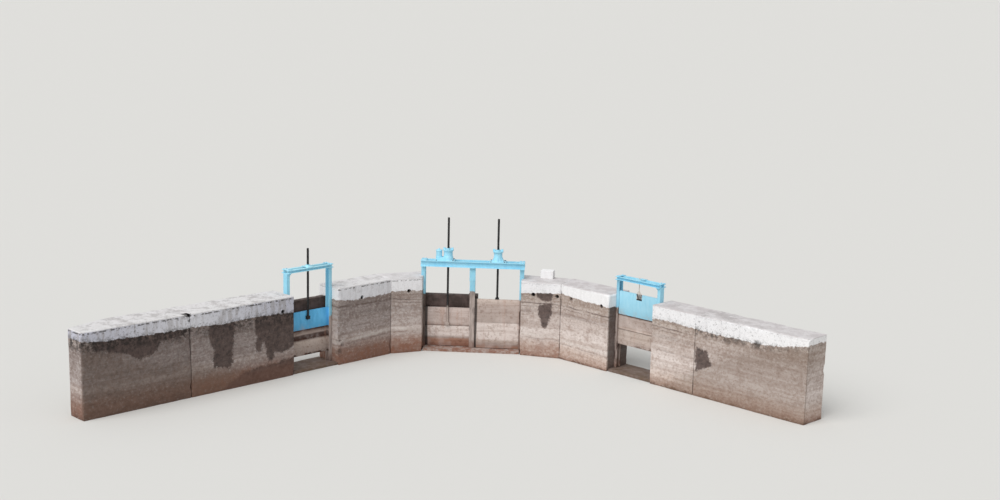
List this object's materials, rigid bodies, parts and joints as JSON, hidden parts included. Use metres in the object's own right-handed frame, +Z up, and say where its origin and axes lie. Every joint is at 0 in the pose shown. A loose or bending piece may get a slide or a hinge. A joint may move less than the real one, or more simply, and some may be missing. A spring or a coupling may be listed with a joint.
{
  "type": "sluice gate",
  "caption": "Polygonal concrete canal headwall with steel frames whose sluice leaves slide up and down on screw stems to hold back or release water.",
  "frame": {"origin": "middle of the centre opening, in the plane of its leaves, at the waterline where the walls end", "axes": "+X along the centre opening to the right seen from the pool, +Y upstream away from the pool, +Z up"},
  "size_m": [13.4528, 6.3235, 2.85],
  "materials": {
    "concrete": "weathered concrete, whitewashed along the top, silted and stained below",
    "wet_concrete": "dark wet concrete",
    "blue_paint": "light blue brushed-on paint over rolled steel, silted and rusty low down",
    "cast_paint": "light blue brushed-on paint over cast iron",
    "leaf_paint": "light blue paint above, dry silt below",
    "silted_steel": "steel plate covered with dry silt",
    "stem_steel": "black greased screw steel"
  },
  "bodies": {
    "headwall": {"left_wing_wall_outer": "concrete", "left_wing_wall_inner": "concrete", "left_link_wall_outer": "concrete", "left_link_wall_inner": "concrete", "right_link_wall_inner": "concrete", "right_link_wall_outer": "concrete", "right_wing_wall_inner": "concrete", "right_wing_wall_outer": "concrete", "kerb_block": "concrete", "centre_pier": "concrete", "left_sill": "wet_concrete", "centre_sill": "wet_concrete", "right_sill": "wet_concrete", "left_breast_wall": "wet_concrete", "centre_breast_walls": "wet_concrete", "right_breast_wall": "wet_concrete", "left_frame_post_left": "blue_paint", "left_frame_post_right": "blue_paint", "left_frame_front_rail": "blue_paint", "left_frame_back_rail": "blue_paint", "left_frame_battens": "blue_paint", "left_nut_plate": "blue_paint", "centre_frame_post_left": "blue_paint", "centre_frame_mullion": "blue_paint", "centre_frame_post_right": "blue_paint", "centre_frame_front_rail": "blue_paint", "centre_frame_back_rail": "blue_paint", "centre_frame_battens": "blue_paint", "right_frame_post_left": "blue_paint", "right_frame_post_right": "blue_paint", "right_frame_front_rail": "blue_paint", "right_frame_back_rail": "blue_paint", "right_frame_battens": "blue_paint", "right_hole_plate": "blue_paint", "hoist_left_housing": "cast_paint", "hoist_left_drive": "cast_paint", "hoist_right_housing": "cast_paint"},
    "left_gate": {"left_leaf": "leaf_paint", "left_stem": "stem_steel"},
    "centre_left_gate": {"centre_left_leaf": "silted_steel", "centre_left_stem": "stem_steel"},
    "centre_right_gate": {"centre_right_leaf": "silted_steel", "centre_right_stem": "stem_steel"},
    "right_gate": {"right_leaf": "leaf_paint", "right_hanger": "stem_steel"}
  },
  "joints": [
    {"name": "left_gate_slide", "type": "slide", "parent": "headwall", "child": "left_gate", "axis": [0, 0, 1], "range_m": [-0.185, 0.8]},
    {"name": "centre_left_gate_slide", "type": "slide", "parent": "headwall", "child": "centre_left_gate", "axis": [0, 0, 1], "range_m": [0, 0.85]},
    {"name": "centre_right_gate_slide", "type": "slide", "parent": "headwall", "child": "centre_right_gate", "axis": [0, 0, 1], "range_m": [0, 0.6]},
    {"name": "right_gate_slide", "type": "slide", "parent": "headwall", "child": "right_gate", "axis": [0, 0, 1], "range_m": [-0.5, 0.2]}
  ]
}
